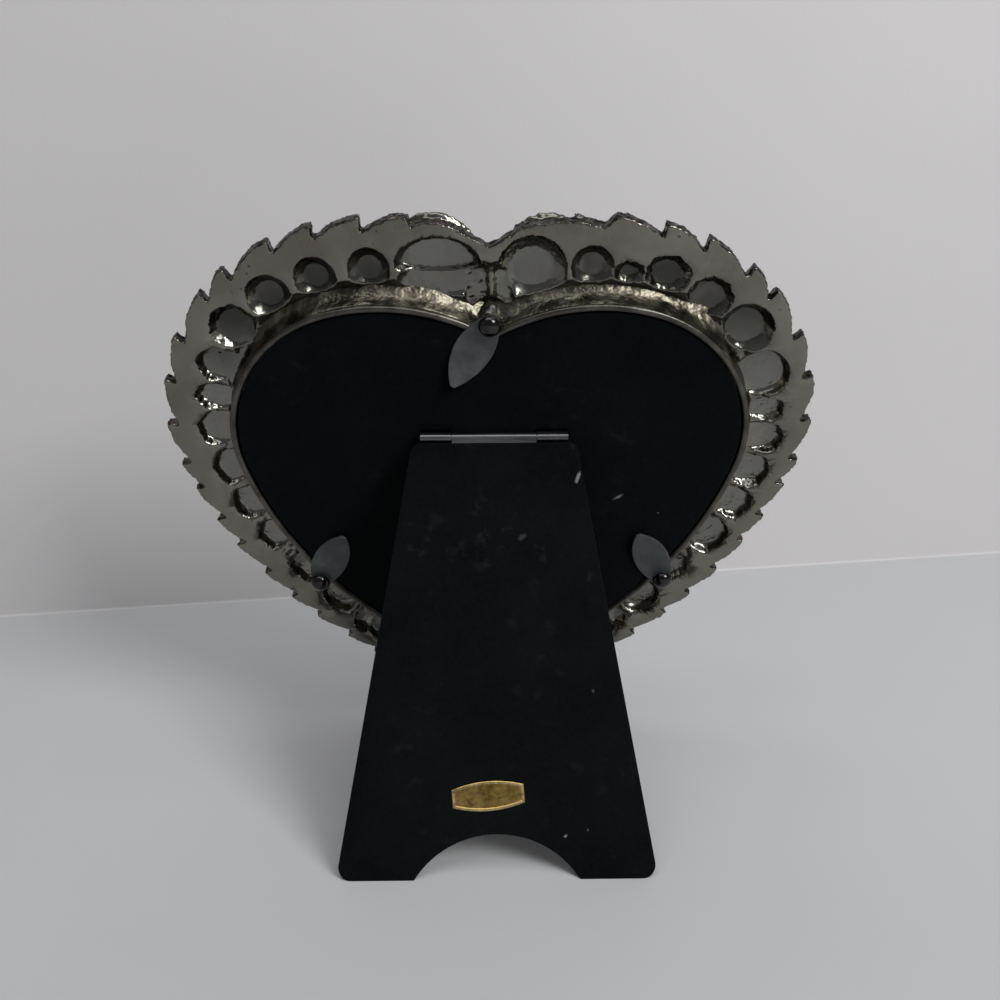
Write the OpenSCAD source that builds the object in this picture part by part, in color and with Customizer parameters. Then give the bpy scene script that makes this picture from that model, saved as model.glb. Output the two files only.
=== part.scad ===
// Heart shaped photo frame: a cast metal heart with an easel leg, standing on a table.
// The pieces are drawn flat, with x across, y up the frame from the tip of the heart and z
// towards the front, and are then leaned back. z = 0 is the flat back of the leafy border.
// The back of the frame faces +Y, the picture faces -Y, and the floor is z = 0.

/* [Stance] */
// Lean of the frame back from upright, degrees
tilt = 18; // [12:0.5:24]
// Angle of the open leg from upright, degrees
leg_slant = 17.8; // [14:0.1:24]

/* [Window opening] */
// Sideways place of each lobe's centre
lobe_x = 20.9; // [20:0.1:22]
// Height of the lobes' centres above the tip of the heart
lobe_y = 79.8; // [79:0.1:82]
// Radius of the lobes of the opening
lobe_r = 25; // [24:0.1:26]
// Radius of the shoulders that run from the lobes into the cleft
shoulder_r = 34; // [32:0.1:37]
// Radius of the flanks between the lobes and the straight lower sides
flank_r = 75; // [70:0.5:80]

/* [Border] */
// Depth of the notches between the leaf tips at the top of the lobes
leaf_depth = 2.6; // [1.5:0.1:3.5]
// Depth of the notches near the tip of the heart
leaf_depth_low = 1.6; // [1:0.1:2.5]
// Width of the whole border round the lobes, from the opening to the leaf tips
border_w = 13.8; // [12.5:0.1:15]
// Sideways place of each border lobe's centre
border_x = 20.4; // [19:0.1:22]
// Height of the border lobes' centres above the tip of the heart
border_y = 81.5; // [80:0.1:83]
// Radius of the border's shoulders at the cleft
border_shoulder_r = 53.4; // [50:0.1:57]
// Radius of the border's flanks
border_flank_r = 89; // [84:0.5:92]
// Thickness of the border
border_t = 2.3; // [1.8:0.1:2.8]
// Height of the vein along each leaf, on the front
vein_h = 0.8; // [0.4:0.1:1.2]

/* [Casting] */
// Height of the wall round the board behind the border
rim_h = 2.5; // [2.3:0.1:4]
// Thickness of the wall round the board
rim_t = 1.0; // [0.8:0.1:1.3]
// Depth of the hollows behind the flowers
hollow_depth = 2.2; // [1.5:0.1:2.6]
// Thickness of the casting over the hollows
skin_t = 1.4; // [1:0.1:2]
// Number of flowers on each side, below the two large roses
flower_count = 17; // [13:1:18]
// Radius of the hollow behind a flower
hollow_r = 3.7; // [3.4:0.1:4.1]
// Radius of the large roses at the cleft
rose_r = 8.4; // [7.5:0.1:9]
// Height of the flowers above the ground of the casting
flower_h = 1.6; // [1:0.1:2.4]
// Width of the lip that holds the glass
lip_w = 2.5; // [1.5:0.1:3.5]
// Thickness of the lip
lip_t = 1.6; // [1.2:0.1:2.2]

/* [Picture pack] */
// Thickness of the glass
glass_t = 1.6; // [1:0.1:2]
// Thickness of the picture card
picture_t = 0.3; // [0.2:0.05:0.5]
// Thickness of the filler card behind the picture
filler_t = 1.0; // [0.6:0.1:1.4]
// Thickness of the board
board_t = 1.6; // [1.4:0.1:2]
// Thickness of the velvet
velvet_t = 0.35; // [0.25:0.05:0.5]
// Gap all round between the opening and what lies in it
pack_gap = 0.3; // [0.2:0.05:0.5]

/* [Turn buttons] */
// Radius of the posts that carry the buttons
post_r = 1.9; // [1.6:0.1:2.2]
// Distance of the post in the cleft from the opening
cleft_post_out = 3; // [2:0.1:3.4]
// Distance of the two lower posts from the opening
post_out = 2.1; // [2:0.1:2.6]
// Height of the two lower posts above the tip of the heart
post_low_y = 46.4; // [40:0.1:52]
// Radius of a rivet's shank
rivet_r = 1.0; // [0.8:0.05:1.1]
// Radius of a rivet's head
rivet_head_r = 1.95; // [1.6:0.05:2.3]
// Height of a rivet's head
rivet_head_h = 1.5; // [1:0.1:2]
// Length of a button from its pivot to its tip
button_reach = 13.1; // [11:0.1:15]
// Length of a button behind its pivot
button_tail = 2.1; // [1.9:0.1:2.6]
// Width of a button
button_w = 6.7; // [6:0.1:8]
// Thickness of a button
button_t = 0.5; // [0.4:0.05:0.7]
// How far a button's tip is bent outwards
button_lift = 1.3; // [0.6:0.1:2]
// Turn of the top button from pointing straight up, degrees clockwise seen from the front
top_turn = 150; // [100:1:180]
// Turn of the lower buttons from pointing straight up, degrees inwards
low_turn = 26; // [10:1:40]

/* [Hinge] */
// Gap between the hinge pin and the tip of the top button when it points straight down
hinge_gap = 8.85; // [5:0.05:10]
// Sideways place of the middle of the hinge
hinge_x = -0.7; // [-1.5:0.1:1.5]
// Distance of the hinge pin behind the border
hinge_back = 3.7; // [3.6:0.05:4.2]
// Length of the hinge
hinge_w = 26.6; // [22:0.1:28]
// Length of the middle knuckle
knuckle_w = 15.2; // [12:0.1:18]
// Outer radius of the knuckles
knuckle_r = 0.85; // [0.75:0.05:0.95]
// Radius of the hinge pin
pin_r = 0.42; // [0.35:0.01:0.48]
// Thickness of the hinge plates
plate_t = 0.35; // [0.25:0.05:0.4]
// Length of the hinge plates along the board and the leg
plate_len = 8; // [6:0.5:12]

/* [Leg] */
// Half of the leg's width at the hinge
leg_top = 14.8; // [13.6:0.1:17]
// Half of the leg's width at the foot
leg_foot = 29; // [25:0.1:32]
// Thickness of the leg's board
leg_t = 1.6; // [1.2:0.1:2]
// Half of the width of the arch between the feet
arch_w = 14.7; // [11:0.1:17]
// Height of the arch between the feet
arch_h = 7.8; // [5:0.1:10]
// Radius of the outer corners of the feet
foot_r = 2.5; // [1:0.1:4]
// Radius of the corners beside the hinge
top_corner_r = 2; // [1:0.1:3]

/* [Label] */
// Length of the foil label
label_w = 13; // [10:0.5:16]
// Height of the foil label
label_h = 5.4; // [4:0.1:7]
// Height of the label's middle above the feet, along the leg
label_up = 14.8; // [12:0.1:20]
// Sideways place of the label
label_x = 0.8; // [-3:0.1:3]
// Turn of the label, degrees
label_turn = -4.5; // [-8:0.5:8]
// Thickness of the foil
label_t = 0.12; // [0.08:0.02:0.3]

/* [Hidden] */
$fn = 48;
eps = 0.01;

// Angles at which the outline changes from arc to arc, measured at the centre of the lobe
shoulder_a = 77;
flank_a = -15;
tip_a = -45;
border_tip_a = -47;

// The opening and the border are two hearts of the same build. A heart is held as
// [lobe x, lobe y, lobe radius, shoulder radius, flank radius, angle of the lower sides].
opening = [lobe_x, lobe_y, lobe_r, shoulder_r, flank_r, tip_a];
border = [border_x, border_y, lobe_r + border_w, border_shoulder_r, border_flank_r, border_tip_a];

// The levels through the picture pack, from the front to the back
lip_step = 0.4;
lip_back = hollow_depth + lip_step;
lip_front = lip_back + lip_t;
glass_back = lip_back - glass_t;
picture_back = glass_back - picture_t;
filler_back = picture_back - filler_t;
board_back = filler_back - board_t;
velvet_back = board_back - velvet_t;
ground = hollow_depth + skin_t;

// The buttons turn just clear of the wall, on posts as tall as it
button_clear = 0.1;
post_top = -rim_h - button_clear / 2;
button_front = -rim_h - button_clear;
button_back = button_front - button_t;
head_seat = button_back - button_clear;
shank_len = 3;
pivot_clear = 0.08;
bend_share = 0.62;

// The tip of the heart is worn flat where it stands
tip_drop = 0.35;

// How far a cutter reaches past what it cuts
cut_spare = 1;

// The leg hangs from the hinge, which clears the top button however it is turned
hinge_y = cleft_post_y() - button_reach - hinge_gap;
pin_clear = 0.05;
knuckle_gap = 0.15;
open_angle = tilt + leg_slant;
pin_y = (hinge_y - tip_drop) * sin(tilt) + hinge_back * cos(tilt);
pin_z = (hinge_y - tip_drop) * cos(tilt) - hinge_back * sin(tilt);
leg_len = pin_z / cos(leg_slant);
leg_gap = 0.15;
leg_start = knuckle_r + leg_gap;
leg_outer = -knuckle_r;
leg_inner = leg_outer + leg_t;
lining_t = 0.3;
foot_spare = 0.5;
foot_bottom = leg_len + foot_spare;
plate_slot = 0.1;
staple_r = 0.9;
staple_head_r = 1.6;
staple_head_t = 0.3;

// Centres of the three arcs of a half heart
function lobe_c(h) = [h[0], h[1]];
function shoulder_c(h) = lobe_c(h) + (h[2] - h[3]) * [cos(shoulder_a), sin(shoulder_a)];
function flank_c(h) = lobe_c(h) + (h[2] - h[4]) * [cos(flank_a), sin(flank_a)];

// Angle at which the shoulder arc, moved out by d, meets the middle of the heart
function cleft_a(h, d) = acos(-shoulder_c(h)[0] / (h[3] + d));

// Lengths of the arcs moved out by d, and of the straight lower side
function arc_len(r, a) = r * a * PI / 180;
function shoulder_len(h, d) = arc_len(h[3] + d, cleft_a(h, d) - shoulder_a);
function lobe_len(h, d) = arc_len(h[2] + d, shoulder_a - flank_a);
function flank_len(h, d) = arc_len(h[4] + d, flank_a - h[5]);
function flank_end(h, d) = flank_c(h) + (h[4] + d) * [cos(h[5]), sin(h[5])];
function side_len(h, d) = flank_end(h, d)[0] / -sin(h[5]);
function half_len(h, d) = shoulder_len(h, d) + lobe_len(h, d) + flank_len(h, d) + side_len(h, d);

// Point and outward angle on the half heart, at the distance s from the cleft
function on_arc(c, r, a) = [c[0] + r * cos(a), c[1] + r * sin(a), a];
function turned(s, r) = s / r * 180 / PI;
function on_heart(h, d, s) =
    let (s1 = shoulder_len(h, d), s2 = s1 + lobe_len(h, d), s3 = s2 + flank_len(h, d))
    s < s1 ? on_arc(shoulder_c(h), h[3] + d, cleft_a(h, d) - turned(s, h[3] + d))
    : s < s2 ? on_arc(lobe_c(h), h[2] + d, shoulder_a - turned(s - s1, h[2] + d))
    : s < s3 ? on_arc(flank_c(h), h[4] + d, flank_a - turned(s - s2, h[4] + d))
    : let (p = flank_end(h, d), t = s - s3) [p[0] + t * sin(h[5]), p[1] - t * cos(h[5]), h[5]];

// Lowest point of the heart moved out by d
function heart_tip(h, d) = let (p = flank_end(h, d)) p[1] + p[0] * cos(h[5]) / sin(h[5]);

function mirrored(points) = [for (i = [len(points) - 1 : -1 : 0]) [-points[i][0], points[i][1]]];

// Outline of the whole heart moved out by d, from the cleft down one side and up the other
shoulder_steps = 8;
lobe_steps = 18;
flank_steps = 8;
function arc_point(c, r, a) = [c[0] + r * cos(a), c[1] + r * sin(a)];
function arc_points(c, r, a, b, n) = [for (i = [1 : n]) arc_point(c, r, a + (b - a) * i / n)];
function heart_points(h, d) =
    let (cleft = arc_point(shoulder_c(h), h[3] + d, cleft_a(h, d)), half = concat(
        arc_points(shoulder_c(h), h[3] + d, cleft_a(h, d), shoulder_a, shoulder_steps),
        arc_points(lobe_c(h), h[2] + d, shoulder_a, flank_a, lobe_steps),
        arc_points(flank_c(h), h[4] + d, flank_a, h[5], flank_steps)))
    concat([cleft], half, [[0, heart_tip(h, d)]], mirrored(half));

module heart(h, d) { polygon(heart_points(h, d)); }

// Leans the flat drawing back and sets it on the floor
module lean() {
    translate([0, -origin_y, 0]) rotate([90 - tilt, 0, 0]) translate([0, -tip_drop, 0]) children();
}

module slab(low, high) { translate([0, 0, low]) linear_extrude(high - low) children(); }

// Border of overlapping leaves. A leaf swells from its notch to a tip that points up the
// side and over the lobe, and the next notch cuts back under the tip. The leaves differ in
// length, alike on both sides, and these are their shares of the run, from the cleft down.
leaf_shares = [7.5, 8, 7.5, 9, 6, 9.5, 8.5, 9, 8.5, 6, 8, 7, 8.5, 8, 7, 8.5, 7, 7.5, 8, 7.5, 6];
leaf_steps = [0, 0.08, 0.2, 0.4, 0.7, 1];
leaf_hook = 0.04;
first_tip = 14;
last_notch = 4.5;
leaf_count = len(leaf_shares);
notch_len = half_len(border, -leaf_depth);
function add_up(v, n) = n == 0 ? 0 : v[n - 1] + add_up(v, n - 1);
share_len = (notch_len - first_tip - last_notch) / add_up(leaf_shares, leaf_count);
function tip_s(k) = first_tip + share_len * add_up(leaf_shares, k);
function leaf_len(k) = share_len * leaf_shares[k];
function leaf_swell(k) = leaf_depth + (leaf_depth_low - leaf_depth) * k / leaf_count;
function leaf_point(s, lift) =
    let (p = on_heart(border, -leaf_depth, s))
    [p[0] + lift * cos(p[2]), p[1] + lift * sin(p[2])];
// One leaf's outline, from its tip to its own notch further down
function leaf_points(k) =
    [for (i = [len(leaf_steps) - 1 : -1 : 0])
        let (t = leaf_steps[i], ahead = t == 1 ? leaf_hook : 0)
        leaf_point(tip_s(k) + (1 - t - ahead) * leaf_len(k), leaf_swell(k) * sin(90 * t))];
function cleft_point() = let (p = on_heart(border, -leaf_depth, 0)) [0, p[1]];
// The smooth run beside the cleft is drawn in thirds, and a pair of leaves closes the tip
cleft_run = [1 / 3, 2 / 3];
tip_leaf = [[2.9, 3.5], [1.5, 1.3], [0, 0]];
function leafy_half() = concat(
    [cleft_point()],
    [for (t = cleft_run) leaf_point(t * first_tip, 0)],
    [for (k = [0 : leaf_count - 1], p = leaf_points(k)) p],
    tip_leaf);

module border_shape() {
    half = leafy_half();
    polygon(concat(half, mirrored([for (i = [1 : len(half) - 2]) half[i]])));
}

// Vein along a leaf, from the flowers to the leaf's tip. Its ends are shares of the leaf.
vein_w = 1.8;
vein_tip = [0.08, 0.7];
vein_root = 0.9;
vein_in = -4;
module vein(k) {
    tip = leaf_point(tip_s(k) + leaf_len(k) * vein_tip[0], leaf_swell(k) * vein_tip[1]);
    root = leaf_point(tip_s(k) + leaf_len(k) * vein_root, vein_in);
    along = tip - root;
    translate([root[0], root[1], border_t - eps]) rotate([0, 0, atan2(along[1], along[0])])
        rotate([90, 0, 90]) linear_extrude(norm(along))
            polygon([[-vein_w / 2, 0], [vein_w / 2, 0], [0, vein_h]]);
}

// Flowers sit between the wall and the border, and the top ones stand off the wall a little
wall_overlap = 0.3;
flower_d = rim_t + hollow_r - wall_overlap;
top_out = 1.4;
top_flowers = 7;
flower_run = half_len(opening, flower_d);
rose_s = 9.6;
rose_out = 1.6;
first_flower = 20.5;
last_flower = 4.5;
flower_pitch = (flower_run - first_flower - last_flower) / (flower_count - 1);
flower_wall = 0.6;
flower_r = hollow_r + flower_wall;
ground_d = flower_d + 0.8 * hollow_r;
function flower_out(k) = top_out * max(0, 1 - k / top_flowers);
function flower_at(k) = on_heart(opening, flower_d + flower_out(k), first_flower + k * flower_pitch);
function rose_at() = on_heart(opening, flower_d + rose_out, rose_s);

// The floor is z = 0, and the origin lies under the middle of the whole object, between the
// feet of the leg and the lowest point of the ground of the casting
foot_reach = pin_y + pin_z * tan(leg_slant) + (knuckle_r + velvet_t) / cos(leg_slant);
front_reach = ground * cos(tilt) - (heart_tip(opening, ground_d) - tip_drop) * sin(tilt);
origin_y = (foot_reach - front_reach) / 2;

module both_sides() { children(); mirror([1, 0, 0]) children(); }

module hollows() {
    difference() {
        union() both_sides() {
            for (k = [0 : flower_count - 1]) let (p = flower_at(k)) translate([p[0], p[1]]) circle(hollow_r);
            let (p = rose_at()) translate([p[0], p[1]]) circle(rose_r - skin_t);
        }
        heart(opening, rim_t);
    }
}

// Low dome: the cap of a ball that is cut off at the ground
module dome(r, h) {
    ball = (r * r + h * h) / (2 * h);
    intersection() {
        translate([0, 0, h - ball]) sphere(ball, $fn = 64);
        translate([0, 0, -eps]) cylinder(h = h + cut_spare, r = r + cut_spare);
    }
}

// A flower is a low disc with a round heart, and a rose has a second ring of petals
disc_share = 0.4;
eye_share = 0.7;
module flower() {
    cylinder(h = ground + flower_h * disc_share, r = flower_r);
    translate([0, 0, ground + flower_h * disc_share - eps])
        dome(hollow_r * eye_share, flower_h * (1 - disc_share));
}
ring_share = 0.72;
bud_share = 0.42;
module rose() {
    cylinder(h = ground + flower_h / 2, r = rose_r);
    cylinder(h = ground + flower_h, r = rose_r * ring_share);
    translate([0, 0, ground + flower_h - eps]) dome(rose_r * bud_share, flower_h * (1 - disc_share));
}

function cleft_post_y() =
    shoulder_c(opening)[1] + sqrt(pow(shoulder_r + cleft_post_out, 2) - pow(shoulder_c(opening)[0], 2));
function post_places() = [
    [0, cleft_post_y()],
    for (side = [1, -1]) [side * post_low_x, post_low_y]];
post_low_x = flank_c(opening)[0] + sqrt(pow(flank_r + post_out, 2) - pow(post_low_y - flank_c(opening)[1], 2));

module frame_casting() {
    color([0.33, 0.31, 0.29]) difference() {
        lean() {
            difference() {
                union() {
                    slab(0, border_t) border_shape();
                    slab(border_t - eps, ground) heart(opening, ground_d);
                    both_sides() {
                        for (k = [0 : flower_count - 1]) let (p = flower_at(k))
                            translate([p[0], p[1], 0]) flower();
                        let (p = rose_at()) translate([p[0], p[1], 0]) rose();
                        for (k = [0 : leaf_count - 1]) vein(k);
                    }
                }
                translate([0, 0, -eps]) slab(0, hollow_depth) hollows();
                slab(-cut_spare, ground + flower_h * 2) heart(opening, 0);
            }
            slab(-rim_h, ground) difference() { heart(opening, rim_t); heart(opening, 0); }
            slab(lip_back, lip_front) difference() { heart(opening, rim_t); heart(opening, -lip_w); }
            difference() {
                union() for (p = post_places())
                    translate([p[0], p[1], post_top]) cylinder(h = hollow_depth - post_top + eps, r = post_r);
                for (p = post_places())
                    translate([p[0], p[1], post_top - eps]) cylinder(h = shank_len, r = rivet_r);
            }
        }
        floor_cut();
    }
}

// Everything below the floor
far = 200;
module floor_cut() { translate([-far, -far, -far]) cube([2 * far, 2 * far, far]); }

// The picture pack lies in the opening, against the back of the lip
module pack_sheet(low, high, inset) { slab(low, high) heart(opening, -pack_gap - inset); }

module glass_pane() { color([0.8, 0.88, 0.88, 0.4]) lean() pack_sheet(glass_back, lip_back, 0); }
module picture_card() { color([0.93, 0.9, 0.84]) lean() pack_sheet(picture_back, glass_back, 0); }
module filler_card() { color([0.62, 0.52, 0.4]) lean() pack_sheet(filler_back, picture_back, 0); }

// Turns a drawing of a side view, y up the frame and z towards the front, into a strip along x
module strip(x0, x1) { translate([x0, 0, 0]) rotate([90, 0, 90]) linear_extrude(x1 - x0) children(); }
module box(x0, x1, y0, y1, z0, z1) { translate([x0, y0, z0]) cube([x1 - x0, y1 - y0, z1 - z0]); }
module along_pin(x0, x1, r) { translate([x0, 0, 0]) rotate([0, 90, 0]) cylinder(h = x1 - x0, r = r); }

// The hinge's end knuckles belong to the board and the middle one to the leg
end_knuckles = [[hinge_x - hinge_w / 2, hinge_x - knuckle_w / 2 - knuckle_gap],
                [hinge_x + knuckle_w / 2 + knuckle_gap, hinge_x + hinge_w / 2]];
tongue_y = hinge_y + knuckle_r - plate_t;
staple_places = [hinge_x - knuckle_w / 4, hinge_x + knuckle_w / 4];
staple_share = 0.6;
staple_y = tongue_y + plate_len * staple_share;

module board_staple_shape() {
    for (x = staple_places) translate([x, staple_y, board_back]) {
        cylinder(h = board_t, r = staple_r);
        cylinder(h = staple_head_t, r = staple_head_r);
    }
}

// Slots through the board and the velvet for the two tongues of the hinge
module tongue_slots() {
    for (e = end_knuckles)
        box(e[0] - plate_slot, e[1] + plate_slot, tongue_y - plate_slot, tongue_y + plate_t + plate_slot,
            velvet_back - cut_spare, filler_back + cut_spare);
}

module board_core() {
    color([0.45, 0.36, 0.27]) lean() difference() {
        pack_sheet(board_back, filler_back, velvet_t);
        tongue_slots();
        box(end_knuckles[0][0] - plate_slot, end_knuckles[1][1] + plate_slot, tongue_y - plate_slot,
            tongue_y + plate_len + plate_slot, filler_back - plate_t, filler_back + cut_spare);
        board_staple_shape();
    }
}

module board_velvet() {
    color([0.04, 0.045, 0.05]) lean() difference() {
        pack_sheet(velvet_back, filler_back, 0);
        pack_sheet(board_back, filler_back + cut_spare, velvet_t);
        tongue_slots();
    }
}

module hinge_board_plate() {
    color([0.5, 0.5, 0.51]) lean() difference() {
        union() {
            for (e = end_knuckles) {
                translate([0, hinge_y, -hinge_back]) along_pin(e[0], e[1], knuckle_r);
                box(e[0], e[1], tongue_y, tongue_y + plate_t, -hinge_back, filler_back);
            }
            box(end_knuckles[0][0], end_knuckles[1][1], tongue_y, tongue_y + plate_len,
                filler_back - plate_t, filler_back);
        }
        translate([0, hinge_y, -hinge_back])
            along_pin(hinge_x - hinge_w, hinge_x + hinge_w, pin_r + pin_clear);
        board_staple_shape();
    }
}

module board_hinge_rivets() { color([0.55, 0.5, 0.4]) lean() board_staple_shape(); }

module hinge_pin() {
    color([0.45, 0.45, 0.46]) lean() translate([0, hinge_y, -hinge_back])
        along_pin(hinge_x - hinge_w / 2, hinge_x + hinge_w / 2, pin_r);
}

// The leg is drawn hanging from the hinge pin, flat along the board, and is swung open
module in_leg() { lean() translate([0, hinge_y, -hinge_back]) rotate([open_angle, 0, 0]) children(); }

// Rounds the corner p between its neighbours a and b
fillet_steps = 6;
function unit(v) = v / norm(v);
function near_turn(a) = a > 180 ? a - 360 : a < -180 ? a + 360 : a;
function fillet(a, p, b, r) =
    let (u = unit(a - p), v = unit(b - p), half = acos(u * v) / 2,
         c = p + unit(u + v) * r / sin(half), from = p + u * r / tan(half) - c, to = p + v * r / tan(half) - c,
         a0 = atan2(from[1], from[0]), turn = near_turn(atan2(to[1], to[0]) - a0))
    [for (i = [0 : fillet_steps]) arc_point(c, r, a0 + turn * i / fillet_steps)];

function leg_half(y) = leg_top + (leg_foot - leg_top) * (-y - leg_start) / (leg_len - leg_start);
arch_r = (arch_w * arch_w + arch_h * arch_h) / (2 * arch_h);

// The leg's outline, drawn in all round by inset. It is centred on the hinge.
module leg_shape(inset) {
    top = -leg_start - inset;
    bottom = -foot_bottom + inset;
    corners = [[leg_half(top) - inset, top], [-leg_half(top) + inset, top],
               [-leg_half(bottom) + inset, bottom], [leg_half(bottom) - inset, bottom]];
    radii = [top_corner_r, top_corner_r, foot_r, foot_r];
    translate([hinge_x, 0]) difference() {
        polygon([for (i = [0 : 3]) for (p = fillet(corners[(i + 3) % 4], corners[i], corners[(i + 1) % 4],
                                                   radii[i] - inset)) p]);
        translate([0, -leg_len - arch_r + arch_h]) circle(arch_r + inset);
    }
}

leg_plate_end = -leg_start - plate_len;
leg_staple_y = -leg_start - plate_len * staple_share;
module leg_staple_shape() {
    for (x = staple_places) {
        translate([x, leg_staple_y, leg_outer]) cylinder(h = leg_t, r = staple_r);
        translate([x, leg_staple_y, leg_inner - staple_head_t]) cylinder(h = staple_head_t, r = staple_head_r);
    }
}

module hinge_leg_plate() {
    color([0.5, 0.5, 0.51]) in_leg() difference() {
        union() {
            along_pin(hinge_x - knuckle_w / 2, hinge_x + knuckle_w / 2, knuckle_r);
            box(hinge_x - knuckle_w / 2, hinge_x + knuckle_w / 2, leg_plate_end, 0, leg_outer, leg_outer + plate_t);
        }
        along_pin(hinge_x - hinge_w, hinge_x + hinge_w, pin_r + pin_clear);
        leg_staple_shape();
    }
}

module leg_hinge_rivets() { color([0.55, 0.5, 0.4]) in_leg() leg_staple_shape(); }

module plate_pocket() {
    box(hinge_x - knuckle_w / 2 - plate_slot, hinge_x + knuckle_w / 2 + plate_slot,
        leg_plate_end - plate_slot, 0, leg_outer, leg_outer + plate_t);
}

module leg_core() {
    color([0.45, 0.36, 0.27]) difference() {
        in_leg() difference() {
            slab(leg_outer, leg_inner) leg_shape(velvet_t);
            plate_pocket();
            leg_staple_shape();
        }
        floor_cut();
    }
}

module leg_velvet() {
    color([0.045, 0.05, 0.055]) difference() {
        in_leg() difference() {
            slab(leg_outer - velvet_t, leg_inner) leg_shape(0);
            slab(leg_outer, leg_inner + cut_spare) leg_shape(velvet_t);
            plate_pocket();
        }
        floor_cut();
    }
}

module leg_lining() {
    color([0.06, 0.06, 0.065]) difference() {
        in_leg() slab(leg_inner, leg_inner + lining_t) leg_shape(velvet_t);
        floor_cut();
    }
}

// Barrel shaped foil with a raised edge
label_sag = 1.05;
label_arc = (pow(label_w / 2, 2) + label_sag * label_sag) / (2 * label_sag);
label_edge = 0.45;
module barrel(inset) {
    intersection() {
        square([label_w - 2 * inset, label_h], center = true);
        translate([0, label_h / 2 - label_arc]) circle(label_arc - inset, $fn = 180);
        translate([0, label_arc - label_h / 2]) circle(label_arc - inset, $fn = 180);
    }
}
module foil_label() {
    color([0.75, 0.6, 0.32]) in_leg()
        translate([label_x, label_up - leg_len, leg_outer - velvet_t]) rotate([0, 0, label_turn]) {
            slab(-label_t, 0) barrel(0);
            slab(-2 * label_t, -label_t) difference() { barrel(0); barrel(label_edge); }
        }
}

// A button is a pressed leaf with its tip bent outwards, drawn pointing up from its pivot
blunt = 0.4;
button_half = (button_reach + button_tail) / 2 + blunt;
button_arc = (button_half * button_half + button_w * button_w / 4) / button_w;
module button() {
    bend = button_reach * bend_share;
    difference() {
        intersection() {
            translate([0, (button_reach - button_tail) / 2, button_back - button_lift - cut_spare])
                linear_extrude(button_t + button_lift + 2 * cut_spare) intersection_for(side = [1, -1])
                    translate([side * (button_arc - button_w / 2), 0]) circle(button_arc, $fn = 120);
            strip(-button_w, button_w) polygon([
                [-button_tail, button_front], [bend, button_front], [button_reach, button_front - button_lift],
                [button_reach, button_back - button_lift], [bend, button_back], [-button_tail, button_back]]);
        }
        translate([0, 0, button_back - cut_spare])
            cylinder(h = button_t + 2 * cut_spare, r = rivet_r + pivot_clear);
    }
}
module set_button(place, turn) {
    color([0.25, 0.27, 0.28]) lean()
        translate([post_places()[place][0], post_places()[place][1], 0]) rotate([0, 0, turn]) button();
}
module turn_button_top() { set_button(0, -top_turn); }
module turn_button_left() { set_button(1, low_turn); }
module turn_button_right() { set_button(2, -low_turn); }

// Rivets with domed heads, driven into the posts. The head is drawn up to its flattened top.
head_step = 12;
head_steps = 7;
module button_rivets() {
    color([0.2, 0.19, 0.19]) lean() for (p = post_places()) translate([p[0], p[1], 0]) rotate_extrude()
        polygon(concat(
            [[0, post_top + shank_len - eps], [rivet_r, post_top + shank_len - eps], [rivet_r, head_seat]],
            [for (i = [0 : head_steps])
                [rivet_head_r * cos(i * head_step), head_seat - rivet_head_h * sin(i * head_step)]],
            [[0, head_seat - rivet_head_h]]));
}

frame_casting();
glass_pane();
picture_card();
filler_card();
board_core();
board_velvet();
hinge_board_plate();
board_hinge_rivets();
hinge_pin();
hinge_leg_plate();
leg_hinge_rivets();
leg_core();
leg_velvet();
leg_lining();
foil_label();
turn_button_top();
turn_button_left();
turn_button_right();
button_rivets();
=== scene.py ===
"""A small heart shaped photo frame of dark cast metal, seen from behind on its easel leg."""
import math
import random

import bpy
import numpy as np
from mathutils import Matrix, Vector, kdtree, noise


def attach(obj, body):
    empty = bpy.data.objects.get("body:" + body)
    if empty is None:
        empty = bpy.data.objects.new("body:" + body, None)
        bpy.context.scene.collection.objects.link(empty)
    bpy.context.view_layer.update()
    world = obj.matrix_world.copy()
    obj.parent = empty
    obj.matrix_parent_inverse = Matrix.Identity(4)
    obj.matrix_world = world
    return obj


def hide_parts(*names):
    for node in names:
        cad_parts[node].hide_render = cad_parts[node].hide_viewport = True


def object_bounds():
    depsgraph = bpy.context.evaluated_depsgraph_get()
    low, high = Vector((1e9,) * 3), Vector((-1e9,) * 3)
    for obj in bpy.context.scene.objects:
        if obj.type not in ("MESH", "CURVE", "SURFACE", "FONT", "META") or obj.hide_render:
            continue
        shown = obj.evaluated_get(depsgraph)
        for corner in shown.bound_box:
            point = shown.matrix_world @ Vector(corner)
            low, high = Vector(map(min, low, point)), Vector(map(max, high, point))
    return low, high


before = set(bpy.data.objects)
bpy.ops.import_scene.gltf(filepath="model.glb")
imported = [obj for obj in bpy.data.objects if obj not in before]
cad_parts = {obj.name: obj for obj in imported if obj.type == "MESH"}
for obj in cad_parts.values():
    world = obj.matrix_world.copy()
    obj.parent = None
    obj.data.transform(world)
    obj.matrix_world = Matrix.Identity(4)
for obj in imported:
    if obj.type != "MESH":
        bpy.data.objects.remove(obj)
cad_box = [list(corner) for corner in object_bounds()]


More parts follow.
